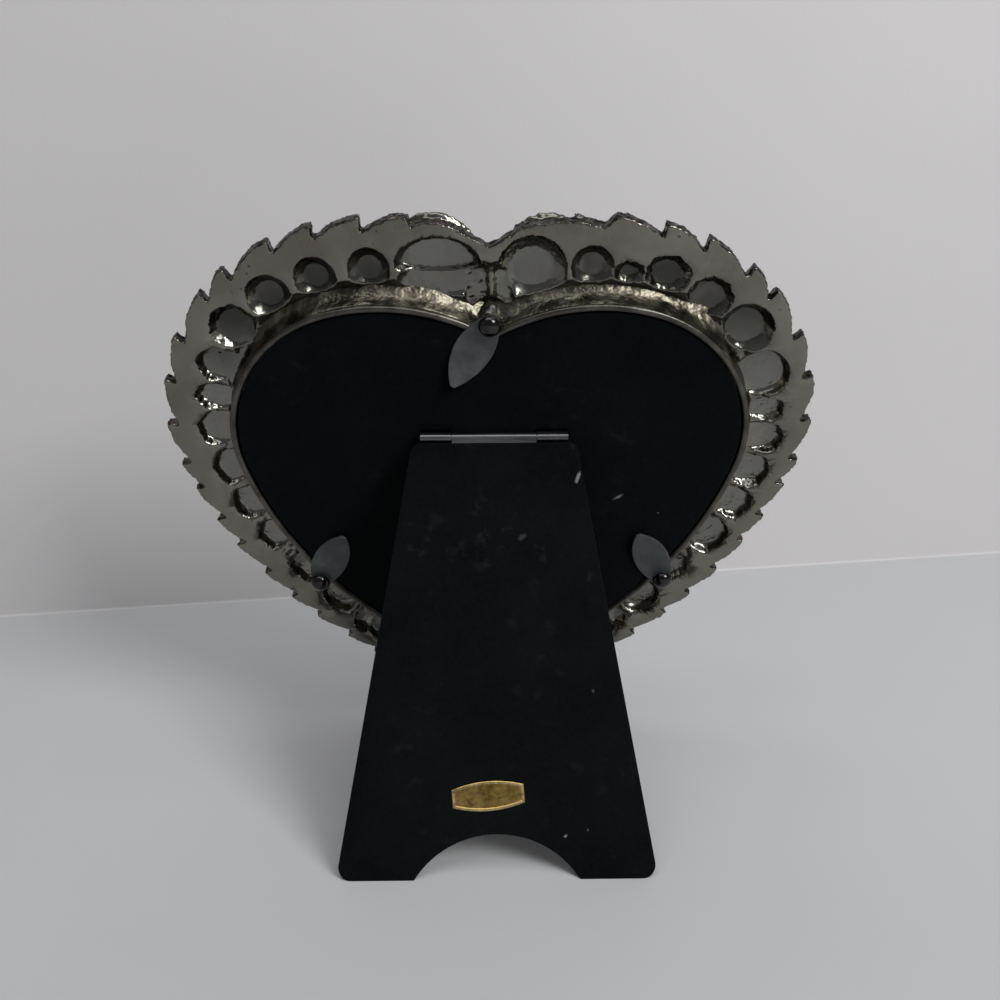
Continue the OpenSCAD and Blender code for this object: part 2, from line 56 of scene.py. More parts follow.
# Backdrop: a pale sheet of board lies on the table and a second one stands behind the frame.
# They meet in a soft fold. The standing board shows from its front side only, so that the
# picture side of the frame can be looked at as well.
class Strand:
    """A value inside a finish. Sums on it add the maths nodes."""

    def __init__(self, finish, socket):
        self.finish, self.socket = finish, socket

    def maths(self, operation, *values):
        return self.finish.node("ShaderNodeMath", {"operation": operation}, dict(enumerate(values)))

    def __add__(self, other):
        return self.maths("ADD", self, other)

    def __mul__(self, other):
        return self.maths("MULTIPLY", self, other)

    __radd__ = __add__
    __rmul__ = __mul__

    def over(self, low, high, bottom=0.0, top=1.0):
        """The value as it climbs from low to high, spread from bottom to top."""
        sockets = {"Value": self, "From Min": low, "From Max": high, "To Min": bottom, "To Max": top}
        return self.finish.node("ShaderNodeMapRange", {"clamp": True}, sockets)


class Finish:
    """One material of the object, with its nodes."""

    def __init__(self, name):
        self.material = bpy.data.materials.new(name)
        self.material.use_nodes = True
        self.tree = self.material.node_tree
        self.tree.nodes.clear()

    def node(self, kind, settings, sockets, out=0):
        made = self.tree.nodes.new(kind)
        for key, value in settings.items():
            setattr(made, key, value)
        for key, value in sockets.items():
            if isinstance(value, Strand):
                self.tree.links.new(value.socket, made.inputs[key])
            else:
                made.inputs[key].default_value = value
        return Strand(self, made.outputs[out])

    def place(self, stretch=(1, 1, 1)):
        """Where a point lies on the object, in metres, stretched for a pattern."""
        spot = self.node("ShaderNodeTexCoord", {}, {}, "Object")
        return self.node("ShaderNodeMapping", {}, {"Vector": spot, "Scale": stretch})

    def along(self, axis):
        """How far a point lies along one axis of the object, in metres."""
        return self.node("ShaderNodeSeparateXYZ", {}, {"Vector": self.place()}, axis)

    def cloud(self, scale, detail=2.0, rough=0.5, where=None):
        return self.node("ShaderNodeTexNoise", {}, {
            "Vector": where or self.place(), "Scale": scale, "Detail": detail, "Roughness": rough})

    def cells(self, scale, feature="F1"):
        return self.node("ShaderNodeTexVoronoi", {"feature": feature}, {
            "Vector": self.place(), "Scale": scale})

    def blend(self, share, first, second):
        return self.node("ShaderNodeMix", {"data_type": "RGBA"}, {0: share, 6: first, 7: second}, 2)

    def dent(self, height, depth, strength=1.0, under=None):
        sockets = {"Height": height, "Distance": depth, "Strength": strength}
        if under:
            sockets["Normal"] = under
        return self.node("ShaderNodeBump", {}, sockets)

    def skin(self, **sockets):
        spaced = {key.replace("_", " "): value for key, value in sockets.items()}
        return self.node("ShaderNodeBsdfPrincipled", {}, spaced)

    def close(self, surface):
        last = self.tree.nodes.new("ShaderNodeOutputMaterial")
        self.tree.links.new(surface.socket, last.inputs["Surface"])
        return self.material


def fresh():
    """Nothing is selected, so that the next step acts on its own piece alone."""
    if bpy.context.object and bpy.context.object.mode != "OBJECT":
        bpy.ops.object.mode_set(mode="OBJECT")
    bpy.ops.object.select_all(action="DESELECT")


def made(name):
    piece = bpy.context.active_object
    piece.name = piece.data.name = name
    return piece


def pale_board(name, colour):
    board = Finish(name)
    darker = [c * 0.965 for c in colour[:3]] + [1]
    tone = board.blend(board.cloud(9.0, 3.0).over(0.3, 0.7), colour, darker)
    grain = board.dent(board.cloud(900.0), 0.0001, 0.25)
    return board, board.skin(Base_Color=tone, Roughness=0.62, Normal=grain)


floor_colour = (0.50, 0.505, 0.51, 1)
wall_colour = (0.56, 0.545, 0.55, 1)
fold_left, fold_right = Vector((0.1395, -0.0870, 0)), Vector((-0.1658, -0.1309, 0))
fold_way = (fold_left - fold_right).normalized()
fold_middle = fold_right + fold_way * 0.15  # the middle of both boards, near the camera's axis
wall_turn = math.atan2(fold_way.y, fold_way.x)
table_size, wall_height, fold_radius, fold_rings = 3.0, 0.32, 0.0006, 3

fresh()
bpy.ops.mesh.primitive_plane_add(size=1)
table = made("table_board")
for corner in table.data.vertices:
    corner.co = (corner.co.x * table_size, (corner.co.y + 0.5) * table_size, 0)
table.data.transform(Matrix.Translation(fold_middle) @ Matrix.Rotation(wall_turn, 4, "Z"))
board, surface = pale_board("table_board", floor_colour)
table.data.materials.append(board.close(surface))

fresh()
bpy.ops.mesh.primitive_grid_add(x_subdivisions=1, y_subdivisions=fold_rings + 1, size=1)
wall = made("wall_board")
rows = sorted({round(v.co.y, 4) for v in wall.data.vertices})
for corner in wall.data.vertices:
    step = rows.index(round(corner.co.y, 4))
    angle = math.pi / 2 * min(step, fold_rings) / fold_rings
    y = fold_radius * (1 - math.sin(angle))
    z = fold_radius * (1 - math.cos(angle)) + (wall_height if step > fold_rings else 0)
    corner.co = (corner.co.x * table_size, y, z)
wall.data.transform(Matrix.Translation(fold_middle) @ Matrix.Rotation(wall_turn, 4, "Z"))
board, surface = pale_board("wall_board", wall_colour)
behind = board.node("ShaderNodeNewGeometry", {}, {}, "Backfacing")
clear = board.node("ShaderNodeBsdfTransparent", {}, {})
one_sided = board.node("ShaderNodeMixShader", {}, {0: behind, 1: surface, 2: clear})
wall.data.materials.append(board.close(one_sided))
for face in wall.data.polygons:
    face.use_smooth = True
    if face.normal.y < 0 or face.normal.z < 0:
        face.flip()

# Camera: it looks slightly down on the back of the frame, as a hand held camera would. Its place,
# turn and lens were fitted to the outlines in the photograph.
camera_spot = Vector((-0.00012, 0.18465, 0.12417))
pitch, yaw, roll = math.radians(18.41), math.radians(-0.498), math.radians(-0.229)
ahead = Vector((math.sin(yaw) * math.cos(pitch), -math.cos(yaw) * math.cos(pitch), -math.sin(pitch)))
across = ahead.cross(Vector((0, 0, 1))).normalized()
upward = across.cross(ahead)
axes = Matrix((across * math.cos(roll) + upward * math.sin(roll),
               upward * math.cos(roll) - across * math.sin(roll), -ahead)).transposed()
fresh()
bpy.ops.object.camera_add()
camera = bpy.context.active_object
camera.name = "camera"
camera.data.sensor_width = 36
camera.data.lens = 37.56
camera.data.clip_start = 0.01
camera.matrix_world = Matrix.Translation(camera_spot) @ axes.to_4x4()
bpy.context.scene.camera = camera

# Light: a wide window stands to the right of the camera and the ceiling gives a soft light
# from above. The air round the set is a pale grey.
sky = bpy.data.worlds.new("room")
bpy.context.scene.world = sky
sky.use_nodes = True
sky.node_tree.nodes["Background"].inputs["Color"].default_value = (0.93, 0.96, 1.0, 1)
sky.node_tree.nodes["Background"].inputs["Strength"].default_value = 0.20
for name, spot, target, size, watts in (
        ("window", (-0.52, 0.58, 0.62), (0, 0, 0.04), (0.36, 0.36), 6.2),
        ("ceiling", (0.05, 0.30, 1.05), (0, 0, 0.03), (0.9, 0.6), 3.9)):
    fresh()
    bpy.ops.object.light_add(type="AREA", location=spot)
    lamp = bpy.context.active_object
    lamp.name = name
    lamp.data.shape = "RECTANGLE"
    lamp.data.size, lamp.data.size_y = size
    lamp.data.energy = watts
    lamp.rotation_euler = (Vector(target) - Vector(spot)).to_track_quat("-Z", "Y").to_euler()

# Frame casting, the border: one thin casting in dark plated zinc. Leaves overlap all round its
# edge, and the backs of the flowers are hollow, so that the metal is about as thick everywhere.
# It was broken off its runner and tumbled, which left the leaf tips a little ragged.
lean, tip_behind, tip_worn, millimetre = math.radians(18), -0.025751, -0.00035, 0.001
leaned = (Matrix.Translation((0, tip_behind, 0)) @ Matrix.Rotation(math.pi / 2 - lean, 4, "X")
          @ Matrix.Translation((0, tip_worn, 0)) @ Matrix.Scale(millimetre, 4))


class Heart:
    """Half a heart, drawn in millimetres: three arcs and a straight side, from the cleft down."""

    shoulder_turn, flank_turn = 77, -15

    def __init__(self, x, y, lobe, shoulder, flank, side):
        self.side = side
        self.arcs = []
        for r, degrees in ((shoulder, self.shoulder_turn), (lobe, 0), (flank, self.flank_turn)):
            turn = math.radians(degrees)
            self.arcs.append((x + (lobe - r) * math.cos(turn), y + (lobe - r) * math.sin(turn), r))

    def bends(self, out):
        """The arcs with the degrees at which each starts and ends, all moved out."""
        x, y, r = self.arcs[0]
        turns = (math.degrees(math.acos(-x / (r + out))), self.shoulder_turn, self.flank_turn, self.side)
        return [(x, y, r + out, a, b) for (x, y, r), a, b in zip(self.arcs, turns, turns[1:])]

    def length(self, out):
        bends = self.bends(out)
        x, _, r, _, b = bends[-1]
        run = sum(math.radians(start - end) * radius for _, _, radius, start, end in bends)
        return run - (x + r * math.cos(math.radians(b))) / math.sin(math.radians(b))

    def at(self, out, run):
        """The point on the outline, moved out, that lies run from the cleft, and the way out there."""
        for x, y, r, a, b in self.bends(out):
            bend = math.radians(a - b) * r
            if run <= bend:
                turn = math.radians(a) - run / r
                return Vector((x + r * math.cos(turn), y + r * math.sin(turn))), turn
            run -= bend
        turn = math.radians(b)
        corner = Vector((x + r * math.cos(turn), y + r * math.sin(turn)))
        return corner + run * Vector((math.sin(turn), -math.cos(turn))), turn

    def round_trip(self, out, steps):
        """Points all round, with as many steps on each side."""
        side = [self.at(out, self.length(out) * i / steps)[0] for i in range(steps + 1)]
        return side + [Vector((-p.x, p.y)) for p in reversed(side[1:-1])]


opening = Heart(20.9, 79.8, 25, 34, 75, -45)
border = Heart(20.4, 81.5, 38.8, 53.4, 89, -47)


def cut_out(name, outline, levels, wobble=0.0):
    """A flat piece sawn to an outline, and built up through the levels with a rough edge."""
    fresh()
    bpy.ops.mesh.primitive_circle_add(vertices=len(outline), radius=1, fill_type="NGON")
    piece = made(name)
    for corner, (x, y) in zip(piece.data.vertices, outline):
        corner.co = (x, y, levels[0])
    bpy.ops.object.mode_set(mode="EDIT")
    bpy.ops.mesh.select_all(action="SELECT")
    for low, high in zip(levels, levels[1:]):
        bpy.ops.mesh.extrude_region_move(TRANSFORM_OT_translate={"value": (0, 0, high - low)})
    bpy.ops.mesh.select_all(action="SELECT")
    bpy.ops.mesh.normals_make_consistent(inside=False)
    bpy.ops.object.mode_set(mode="OBJECT")
    for corner in piece.data.vertices:
        corner.co.x += random.uniform(-wobble, wobble)
        corner.co.y += random.uniform(-wobble, wobble)
    return piece


def wrapped(name, heart, profile, steps=150, waver=0.0):
    """A closed bead that follows the heart. The profile gives its distance out and its level."""
    fresh()
    bpy.ops.mesh.primitive_torus_add(major_segments=2 * steps, minor_segments=len(profile))
    piece = made(name)
    rounds = [heart.round_trip(out, steps) for out, level in profile]
    for i, corner in enumerate(piece.data.vertices):
        along, across = divmod(i, len(profile))
        x, y = rounds[across][along]
        drift = waver * noise.noise(Vector((x * 0.12, y * 0.12, across * 0.05)))
        corner.co = (x, y, profile[across][1] + drift)
    bpy.ops.object.mode_set(mode="EDIT")
    bpy.ops.mesh.select_all(action="SELECT")
    bpy.ops.mesh.normals_make_consistent(inside=False)
    bpy.ops.object.mode_set(mode="OBJECT")
    return piece


def joined(name, pieces):
    fresh()
    for piece in pieces:
        piece.select_set(True)
    bpy.context.view_layer.objects.active = pieces[0]
    bpy.ops.object.join()
    return made(name)


def finished(piece):
    """All modifiers of the piece become part of its mesh."""
    fresh()
    piece.select_set(True)
    bpy.context.view_layer.objects.active = piece
    for modifier in list(piece.modifiers):
        bpy.ops.object.modifier_apply(modifier=modifier.name)


def rounded(piece, width, segments, sharper_than):
    """Bevels the edges that are sharper than so many degrees."""
    soft = piece.modifiers.new("soft", "BEVEL")
    soft.width, soft.segments, soft.angle_limit = width, segments, math.radians(sharper_than)
    finished(piece)


def cut_away(piece, tool):
    cut = piece.modifiers.new("cut", "BOOLEAN")
    cut.operation, cut.object, cut.solver, cut.use_self = "DIFFERENCE", tool, "EXACT", True
    finished(piece)
    bpy.data.objects.remove(tool)
    return piece


def seat(piece, matrix, slot, finish, *nodes, body="frame", smooth=40):
    """Sets a finished piece where it belongs, with its finish and its body."""
    piece.data.transform(matrix)
    fresh()
    piece.select_set(True)
    bpy.context.view_layer.objects.active = piece
    if smooth:
        bpy.ops.object.shade_smooth_by_angle(angle=math.radians(smooth))
    piece.data.materials.clear()
    piece.data.materials.append(finish)
    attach(piece, body)
    if nodes:
        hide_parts(*nodes)


random.seed(11)
noise.seed_set(11)
leaf_shares = [7.5, 8, 7.5, 9, 6, 9.5, 8.5, 9, 8.5, 6, 8, 7, 8.5, 8, 7, 8.5, 7, 7.5, 8, 7.5, 6]
notch_in, low_leaf, first_tip, last_notch, hook, fray = 2.6, 1.6, 14, 4.5, 0.05, 0.11
share = (border.length(-notch_in) - first_tip - last_notch) / sum(leaf_shares)
leaf_tips = [first_tip + share * sum(leaf_shares[:k]) for k in range(len(leaf_shares))]
leaf_steps = [0, 0.05, 0.12, 0.2, 0.3, 0.42, 0.55, 0.7, 0.85, 0.95, 1]
cleft_left = [(0.0, 115.4), (2.9, 117.1), (5.7, 118.8), (8.5, 119.7), (10.9, 119.6), (13.0, 118.8)]
cleft_right = [(0.0, 115.4), (1.5, 116.1), (2.6, 117.0), (4.0, 117.6), (4.3, 118.5), (7.1, 119.2),
               (11.8, 119.7), (15.8, 119.5), (18.8, 118.6)]
tip_side = [(2.9, 3.5), (1.5, 1.3), (0.0, 0.0)]


def leaf_edge(run, lift):
    spot, turn = border.at(-notch_in, run)
    return spot + lift * Vector((math.cos(turn), math.sin(turn)))


def leaf_depth(k):
    return notch_in + (low_leaf - notch_in) * k / len(leaf_shares)


def leafy_side(cleft, first):
    edge = [Vector(p) for p in cleft]
    for k, (tip, part) in list(enumerate(zip(leaf_tips, leaf_shares)))[first:]:
        length = share * part
        for t in reversed(leaf_steps):
            hooked = hook if t == 1 else 0
            frayed = random.uniform(-fray, fray) if 0 < t < 1 else 0
            edge.append(leaf_edge(tip + (1 - t - hooked) * length,
                                  leaf_depth(k) * math.sin(math.pi / 2 * t) + frayed))
    return edge + [Vector(p) for p in tip_side]


plate_levels = [0, 0.75, 1.5, 2.3]
one_side, other_side = leafy_side(cleft_left, 0), leafy_side(cleft_right, 1)
outline = one_side + [Vector((-p.x, p.y)) for p in reversed(other_side[1:-1])]
plate = cut_out("casting_plate", outline, plate_levels, wobble=0.07)
ground_out, ground_levels, window_out = 7.36, [1.0, 2.2, 3.6], 0.5
ground = cut_out("casting_ground", opening.round_trip(ground_out, 60), ground_levels)
blank = joined("casting_blank", [plate, ground])
blank = cut_away(blank, cut_out("window", opening.round_trip(window_out, 60), [-1, 8]))

# Each hollow: place across and up, half its width and height, and its corners, 0 for a round one.
left_hollows = [(20.0, 111.4, 3.4, 3.8, 0), (29.0, 110.0, 3.4, 3.7, 0), (37.2, 106.8, 3.7, 3.7, 0),
                (44.0, 101.2, 4.5, 3.8, 6), (47.9, 93.9, 3.7, 3.7, 5), (49.2, 87.3, 3.6, 3.0, 7),
                (49.9, 80.6, 3.6, 3.7, 6), (48.5, 71.9, 3.6, 3.6, 5), (46.3, 63.6, 3.3, 3.3, 6),
                (42.9, 55.6, 3.0, 3.1, 5), (37.3, 47.4, 2.6, 3.5, 6), (31.0, 39.4, 3.4, 3.4, 0),
                (26.0, 33.0, 3.2, 3.3, 6)]
right_hollows = [(-17.2, 111.8, 3.4, 3.6, 0), (-23.4, 110.6, 2.8, 2.2, 5), (-29.8, 110.2, 4.0, 3.5, 6),
                 (-37.5, 106.2, 3.7, 3.7, 8), (-44.8, 100.6, 4.2, 3.9, 0), (-49.4, 91.6, 3.6, 4.0, 0),
                 (-50.9, 83.9, 2.6, 2.6, 5), (-50.9, 77.8, 3.5, 3.4, 7), (-49.7, 70.2, 3.0, 3.6, 6),
                 (-47.6, 62.8, 3.1, 3.0, 6), (-43.4, 54.6, 3.2, 3.7, 7), (-37.2, 46.6, 2.4, 3.0, 5),
                 (-30.8, 38.6, 3.5, 3.4, 0), (-25.6, 32.6, 2.7, 3.2, 6)]
hidden_out, hidden_size = 4.6, 3.4
for part in (0.80, 0.87, 0.94):
    spot, turn = opening.at(hidden_out, opening.length(hidden_out) * part)
    left_hollows.append((spot.x, spot.y, hidden_size, hidden_size, 0))
    right_hollows.append((-spot.x, spot.y, hidden_size, hidden_size, 0))


pan_bottom, pan_rim = 2.0, 0.7


def pan(x, y, wide, high, level):
    """The low round block that a flower stands on."""
    fresh()
    bpy.ops.mesh.primitive_cylinder_add(vertices=28, radius=1, depth=2, location=(x, y, 0))
    block = made("pan")
    bpy.ops.object.mode_set(mode="EDIT")
    bpy.ops.mesh.select_all(action="SELECT")
    bpy.ops.transform.resize(value=(wide, high, 1))
    bpy.ops.object.mode_set(mode="OBJECT")
    bpy.ops.object.transform_apply(location=True, rotation=True, scale=True)
    for corner in block.data.vertices:
        corner.co.z = level if corner.co.z > 0 else pan_bottom
    return block


def dome(x, y, z, wide, high, thick, turn=0.0, tilt=0.0, fine=12):
    fresh()
    bpy.ops.mesh.primitive_uv_sphere_add(segments=fine, ring_count=max(6, fine // 2), radius=1,
                                         location=(x, y, z), rotation=(0, tilt, turn),
                                         scale=(wide, high, thick))
    bpy.ops.object.transform_apply(location=True, rotation=True, scale=True)
    return made("dome")


# The front of the border: a leaf over each tip with its groove, a flower over each hollow and a
# large rose on each side of the cleft. The photograph doesn't show them.
leaf_thick, leaf_under, leaf_thinning, leaf_dip, leaf_blunt = 0.8, 0.5, 0.25, -0.06, 0.999
vein_deep, vein_wide = 0.45, 0.16


def leaf(tip, root, wide, level):
    middle, way = (tip + root) / 2, tip - root
    fresh()
    bpy.ops.mesh.primitive_uv_sphere_add(segments=20, ring_count=12, radius=1, rotation=(0, math.pi / 2, 0))
    blade = made("leaf")
    bpy.ops.object.transform_apply(location=True, rotation=True, scale=True)
    for corner in blade.data.vertices:
        x, y, z = corner.co
        if x > 0:
            y *= math.sqrt((1 - min(x, leaf_blunt)) / (1 + x))
        vein = vein_deep * math.exp(-((y / vein_wide) ** 2)) * (1 - x * x) if z > 0 else 0
        rise = z * (leaf_thick if z > 0 else leaf_under) * (1 - leaf_thinning * x) - vein
        corner.co = (x * way.length / 2, y * wide / 2, rise)
    blade.data.transform(Matrix.Translation((middle.x, middle.y, level))
                         @ Matrix.Rotation(math.atan2(way.y, way.x), 4, "Z")
                         @ Matrix.Rotation(leaf_dip, 4, "Y"))
    return blade


relief, root_lift, leaf_level = [], -4.6, 2.25
for side in (1, -1):
    for k, (run, part) in enumerate(zip(leaf_tips, leaf_shares)):
        length = share * part
        tip = leaf_edge(run + length * 0.04, leaf_depth(k) * 0.92)
        root = leaf_edge(run + length * 0.95, root_lift)
        ends = [Vector((side * spot.x, spot.y)) for spot in (tip, root)]
        relief.append(leaf(*ends, length * 0.8, leaf_level))
petals, petal_level, petal_out, petal_thick = 6, 4.0, 0.62, 0.75
for x, y, wide, high, corners in left_hollows + right_hollows:
    relief.append(pan(x, y, wide + pan_rim, high + pan_rim, petal_level))
    for k in range(petals):
        turn = 2 * math.pi * (k + 0.5 * (corners % 2)) / petals
        spot = (x + petal_out * wide * math.cos(turn), y + petal_out * high * math.sin(turn))
        relief.append(dome(*spot, petal_level + 0.05, wide * 0.46, high * 0.34, petal_thick, turn))
    relief.append(dome(x, y, petal_level + 0.5, wide * 0.26, high * 0.26, 0.6))
rose_places = [(9.4, 112.2), (-9.8, 111.9)]
rose_rings = [(8, 5.6, 2.9, 4.3), (6, 3.4, 2.4, 4.9), (4, 1.3, 1.7, 5.4)]  # petals, way out, length, level
for x, y in rose_places:
    relief.append(pan(x, y - 1.0, 8.6, 7.2, petal_level))
    relief.append(dome(x, y, 3.4, 8.0, 8.1, 1.6, fine=40))
    for ring, (count, way_out, size, level) in enumerate(rose_rings):
        for k in range(count):
            turn = 2 * math.pi * (k + 0.4 * ring) / count
            spot = (x + way_out * math.cos(turn), y + way_out * 0.86 * math.sin(turn))
            relief.append(dome(*spot, level, size * 0.62, size, petal_thick, turn, tilt=-0.25, fine=16))
casting = joined("casting", [blank] + relief)
grid_size = 0.25
grid = casting.modifiers.new("grid", "REMESH")
grid.mode, grid.voxel_size, grid.use_smooth_shade = "VOXEL", grid_size, True
smoother = casting.modifiers.new("smoother", "SMOOTH")
smoother.factor, smoother.iterations = 0.5, 2
finished(casting)

# The back of the border is worked out point by point: a groove runs beside the wall, and the
# hollows are pressed in with steep sides and a soft foot. The chiselled ones have facets.
spots = np.empty(3 * len(casting.data.vertices))
casting.data.vertices.foreach_get("co", spots)
spots = spots.reshape(-1, 3)
px, py, pz = spots.T
edge_points = np.array([tuple(p) for p in opening.round_trip(0, 300)])


def nearest(x, y):
    """The way out from the opening at a place: the distance and the direction."""
    apart = np.hypot(edge_points[:, 0] - x, edge_points[:, 1] - y)
    k = int(np.argmin(apart))
    return apart[k], (x - edge_points[k, 0]) / apart[k], (y - edge_points[k, 1]) / apart[k]


def ease(value, low, high):
    """Climbs softly from 0 to 1 between two values."""
    climbed = np.clip((value - low) / (high - low), 0, 1)
    return climbed * climbed * (3 - 2 * climbed)


away, batch = np.empty(len(px)), 20000
for low in range(0, len(px), batch):
    part = slice(low, low + batch)
    away[part] = np.sqrt(((px[part, None] - edge_points[None, :, 0]) ** 2
                          + (py[part, None] - edge_points[None, :, 1]) ** 2).min(axis=1))
back_level, top_from, top_to = 0.4, 96, 104
back = pz < back_level


def unevenness(scale, level):
    """Soft bumps over the back of the border, from -1 to 1."""
    return np.array([noise.noise(Vector((x * scale, y * scale, level))) if behind else 0
                     for x, y, behind in zip(px, py, back)])


rough, fine_rough = unevenness(0.9, 3), unevenness(2.6, 9)
upper = ease(py, top_from, top_to)
crest = 1.7 * upper + 1.35 * (1 - upper)
slope_start, slope_end = 2.6, 5.4 * upper + 6.6 * (1 - upper)
groove_floor, groove_end, wander = 1.9, 2.1 + 0.9 * upper, 0.35 * rough
depth = (crest + wander) * (1 - ease(away, slope_start, slope_end))
groove = groove_floor * (1 - ease(away + wander, groove_end - 0.5, groove_end + 0.3))
depth = np.maximum(depth, groove)
chip_deep, brink, facet_tilt, facet_drop = 0.55, 0.08, 0.32, 0.25


def press(x, y, along, out, inward, floor, foot, facets=0, square=2.0, soft=0.35, upright=False):
    """One hollow. It runs along and out from the opening, and is chipped when it has facets."""
    nx, ny = (0, 1) if upright else nearest(x, y)[1:]
    u, v = (px - x) * ny - (py - y) * nx, (px - x) * nx + (py - y) * ny
    turn = np.arctan2(v, u)
    chipped = 0.0
    if facets:
        step = 2 * math.pi / facets
        start = random.uniform(0, 6)
        chipped = 1 - np.cos(step / 2) / np.cos((turn + start) % step - step / 2)
    power, reach = np.where(v > 0, 2.0, square), np.where(v > 0, out, inward)
    ratio = (np.abs(u / along) ** power + np.abs(v / reach) ** power) ** (1 / power)
    ragged = (0.3 * rough + 0.15 * fine_rough) * (facets > 0)
    inside = (1 - ratio * (1 + chip_deep * chipped)) * along + ragged
    rise = np.clip(inside / foot, 0, 1)
    level = floor * (brink + (1 - brink) * (soft * np.sqrt(1 - (1 - rise) ** 2) + (1 - soft) * rise))
    if facets:
        for k in range(3):
            way = random.uniform(0, 2 * math.pi)
            facet = floor * (1.0 + facet_tilt * (np.cos(way) * u / along + np.sin(way) * v / out))
            level = np.minimum(level, facet + random.uniform(0.0, facet_drop))
    return np.where(inside > 0, level, 0.0)


thick_webs, widening, web, rim = 3, 1.25, 0.12, 0.2
for hollows in (left_hollows, right_hollows):
    sized = []
    for x, y, wide, high, facets in hollows:
        gap, nx, ny = nearest(x, y)
        along, out = math.hypot(wide * ny, high * nx), math.hypot(wide * nx, high * ny)
        sized.append([x, y, along, out, gap, facets])
    for k, (x, y, along, out, gap, facets) in enumerate(sized):
        if k < thick_webs:
            hollow = press(x, y, along + rim, out + rim, out + rim, floor=1.9, foot=1.7, facets=facets,
                           soft=0.3)
        else:
            near = [math.dist(sized[j][:2], (x, y)) / (along + sized[j][2])
                    for j in (k - 1, k + 1) if j < len(sized)]
            along = along * min(widening, sum(near) / len(near)) - web
            high_up = 1 if y > top_from else 0
            hollow = press(x, y, along, out, gap - 0.4 - 0.9 * high_up, floor=2.1, foot=1.0 + 0.7 * high_up,
                           facets=facets, square=4.0 - 1.4 * high_up, soft=0.6 - 0.3 * high_up)
        depth = np.maximum(depth, hollow)
# The two big hollows stand beside the cleft. The left one has a ledge across it, and between
# them a low web runs from the notch to the post.
web_middle, web_half, web_floor, web_rise = 0.35, 0.7, 1.8, 0.9
saddle = ease(py, 103, 106) * (1 - ease(py, 110.5, 113.5)) * (1 - ease(np.abs(px), 3.4, 5.2))
low_web = web_floor - web_rise * np.exp(-((px + web_middle) / web_half) ** 2) + 0.3 * rough
depth = np.maximum(depth, saddle * low_web)
arch = press(8.6, 112.3, along=7.2, out=4.9, inward=1.5, floor=2.3, foot=1.5, square=2.2, soft=0.5,
             upright=True)
step = press(8.4, 109.6, along=7.0, out=3.4, inward=3.6, floor=1.55, foot=1.6, square=2.5, soft=0.4,
             upright=True)
round_one = press(-7.2, 111.2, along=5.9, out=6.1, inward=5.6, floor=2.3, foot=2.5, square=2.4,
                  upright=True)
depth = np.maximum(depth, np.maximum(np.maximum(arch, step), round_one))
post_places = [(0.0, 102.854), (34.223, 46.4), (-34.223, 46.4)]
for k, (x, y) in enumerate(post_places):
    depth = np.maximum(depth, press(x, y, along=3.6, out=3.8, inward=3.0, floor=2.1 if k else 2.9, foot=1.6))
depth += 0.10 * fine_rough * ease(depth, 0.1, 0.6)
pz += np.where(back, depth, 0.0)
ragged_from, ragged_full, ragged_way = 10.2, 11.4, (1, 1, 0.3)
ragged = ease(away, ragged_from, ragged_full)
for i in np.nonzero(ragged > 0)[0]:
    nudge = noise.noise_vector(spots[i] * 1.3) * 0.22 + noise.noise_vector(spots[i] * 3.1) * 0.10
    spots[i] += np.array(nudge) * ragged_way * ragged[i]
casting.data.vertices.foreach_set("co", spots.ravel())
casting.data.update()
most_triangles = 180000
thinner = casting.modifiers.new("thinner", "DECIMATE")
thinner.ratio = min(1.0, most_triangles / (2 * len(casting.data.polygons)))
finished(casting)

nickel = Finish("dark_nickel")
patches = nickel.cloud(55.0, 4.0, 0.6)
tint = nickel.cloud(140.0, 3.0)
tone = nickel.blend(patches.over(0.35, 0.68), (0.165, 0.158, 0.137, 1), (0.235, 0.227, 0.198, 1))
forward = leaned.to_3x3().col[2].normalized()
inwards = nickel.node("ShaderNodeVectorMath", {"operation": "DOT_PRODUCT"}, {
    0: nickel.place(), 1: tuple(forward)}, "Value")
plate_back = leaned.translation.dot(forward)
floor_from, floor_full, floor_to, floor_end = (plate_back + deep for deep in (0.0005, 0.0018, 0.0024, 0.0026))
sunk = inwards.over(floor_from, floor_full) * inwards.over(floor_end, floor_to)
height, sideways = nickel.along("Z"), nickel.along("X")
# Painted shade: the floors of the hollows get their own tone, dark on the high hollows away from the middle
# and pale on the others, with random patches mixed in.
upper_floor_shade = height.over(0.084, 0.098) * (sideways * sideways).over(0.00017, 0.00026, 0.1, 0.85)
floor_shade_and_patches = upper_floor_shade + patches.over(0.4, 0.6, 0.0, 0.2)
tone = nickel.blend(sunk, tone, nickel.blend(floor_shade_and_patches, (0.215, 0.212, 0.190, 1), (0.055, 0.057, 0.048, 1)))
tone = nickel.blend(tint.over(0.56, 0.72, 0.0, 0.5), tone, (0.16, 0.125, 0.115, 1))
pits = nickel.cells(520.0).over(0.0, 0.16, 1.0, 0.0) * nickel.cloud(90.0, 2.0).over(0.56, 0.6)
tone = nickel.blend(pits, tone, (0.03, 0.028, 0.026, 1))
gloss = nickel.cloud(260.0, 5.0, 0.65).over(0.3, 0.75, 0.12, 0.34)
waves = nickel.dent(nickel.cloud(70.0, 2.0), 0.0006, 0.30)
grain = nickel.dent(nickel.cloud(900.0, 3.0), 0.00005, 0.35, waves)
metal = nickel.close(nickel.skin(Base_Color=tone, Metallic=1.0, Roughness=gloss, Normal=grain))
